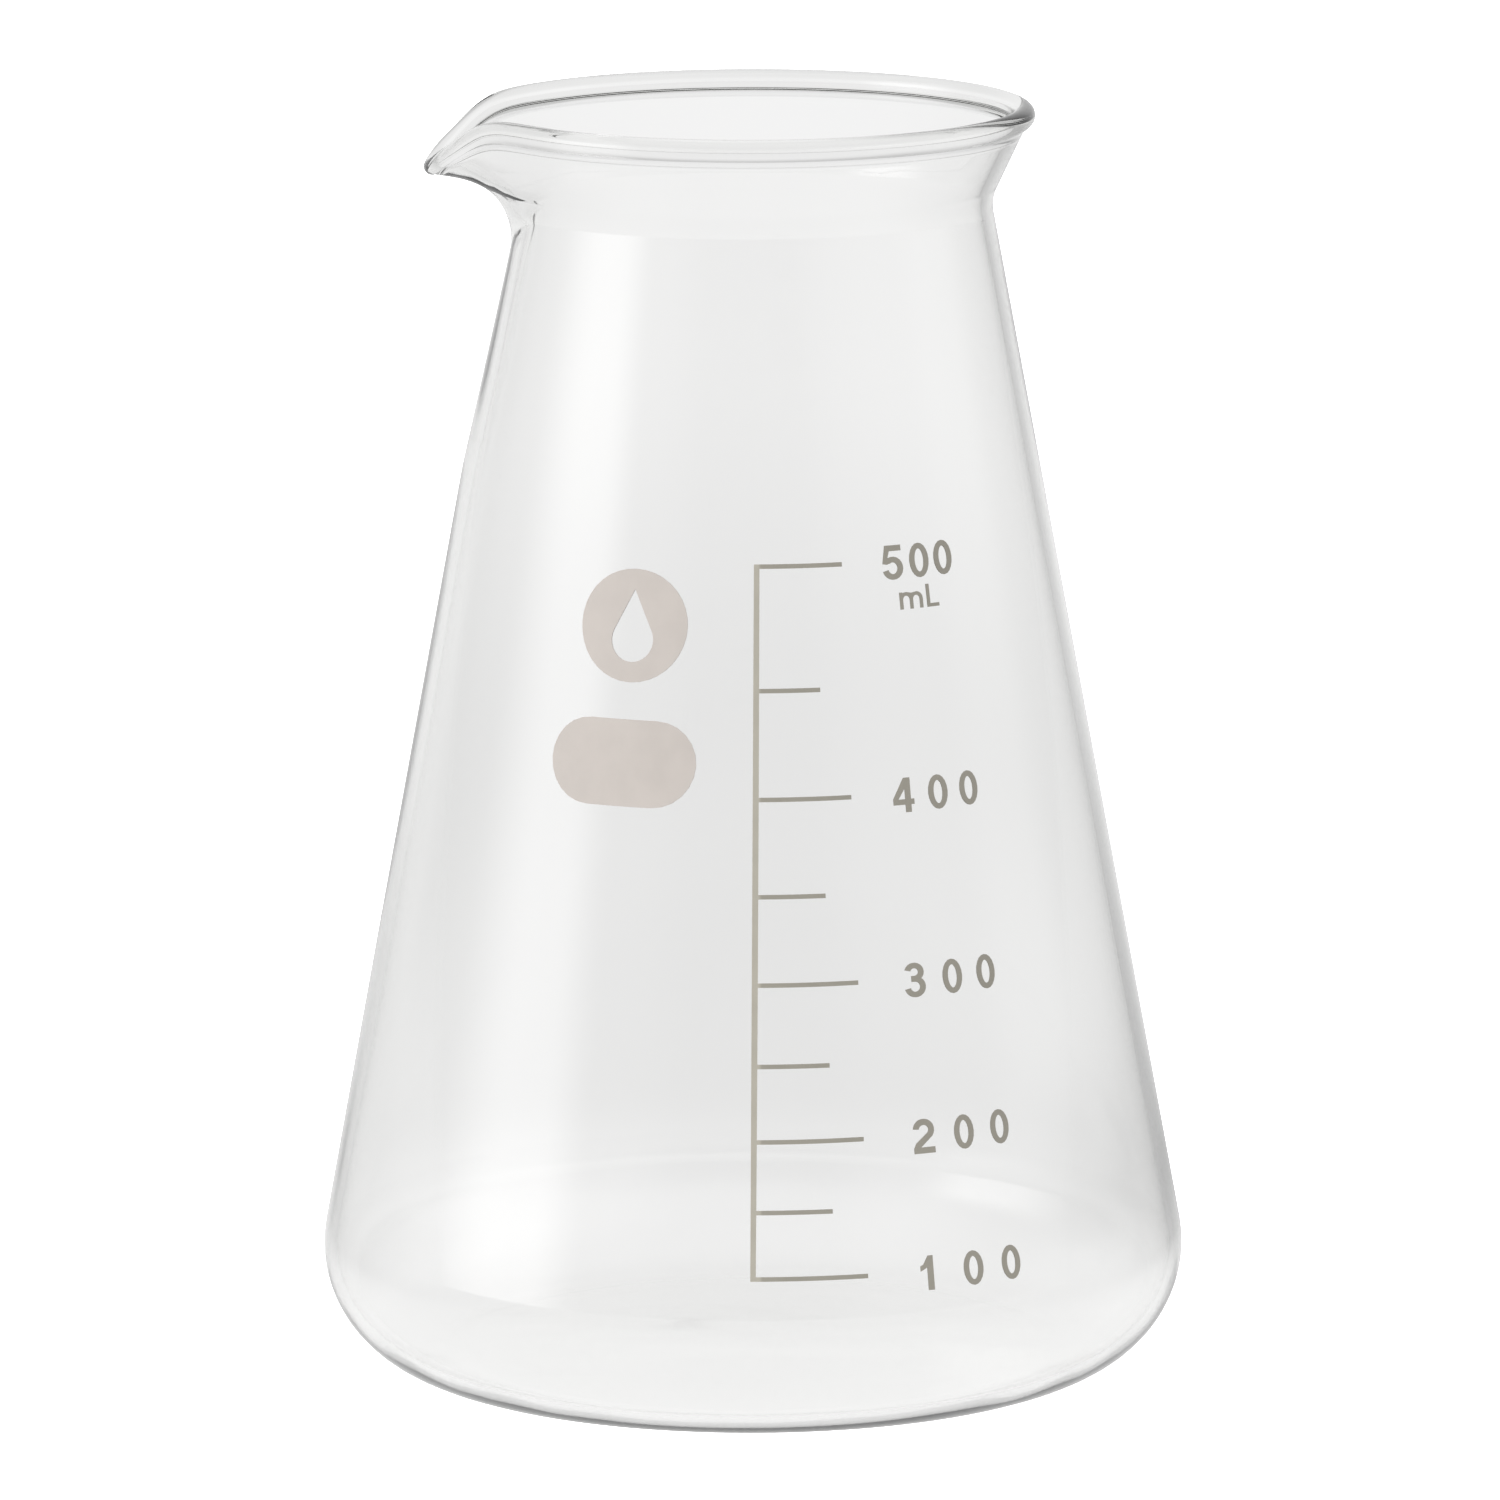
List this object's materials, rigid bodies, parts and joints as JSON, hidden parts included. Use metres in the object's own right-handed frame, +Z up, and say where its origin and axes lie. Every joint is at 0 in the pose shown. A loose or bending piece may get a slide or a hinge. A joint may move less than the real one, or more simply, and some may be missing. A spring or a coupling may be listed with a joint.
{
  "type": "laboratory beaker",
  "caption": "Conical clear glass laboratory beaker with a flared, beaded rim, a pouring spout, an enamel volume scale and a pale field to write on.",
  "frame": {"origin": "on the bench, under the centre of the round base", "axes": "+Z up the beaker's axis to the rim, -X towards the pouring spout, -Y towards the upright line of the volume scale"},
  "size_m": [0.0994, 0.0994, 0.1469],
  "materials": {
    "clear_glass": "clear polished borosilicate glass with a faint green cast at the edges",
    "grey_enamel": "satin fired enamel, warm mid grey",
    "pale_enamel": "satin fired enamel, pale warm grey"
  },
  "bodies": {
    "root": {"vessel": "clear_glass", "graduation_scale": "grey_enamel", "numeral_100_hundreds": "grey_enamel", "numeral_100_tens": "grey_enamel", "numeral_100_units": "grey_enamel", "numeral_200_hundreds": "grey_enamel", "numeral_200_tens": "grey_enamel", "numeral_200_units": "grey_enamel", "numeral_300_hundreds": "grey_enamel", "numeral_300_tens": "grey_enamel", "numeral_300_units": "grey_enamel", "numeral_400_hundreds": "grey_enamel", "numeral_400_tens": "grey_enamel", "numeral_400_units": "grey_enamel", "numeral_500_hundreds": "grey_enamel", "numeral_500_tens": "grey_enamel", "numeral_500_units": "grey_enamel", "unit_letter_m": "grey_enamel", "unit_letter_L": "grey_enamel", "marking_patch": "pale_enamel", "drop_emblem": "pale_enamel"}
  },
  "joints": []
}
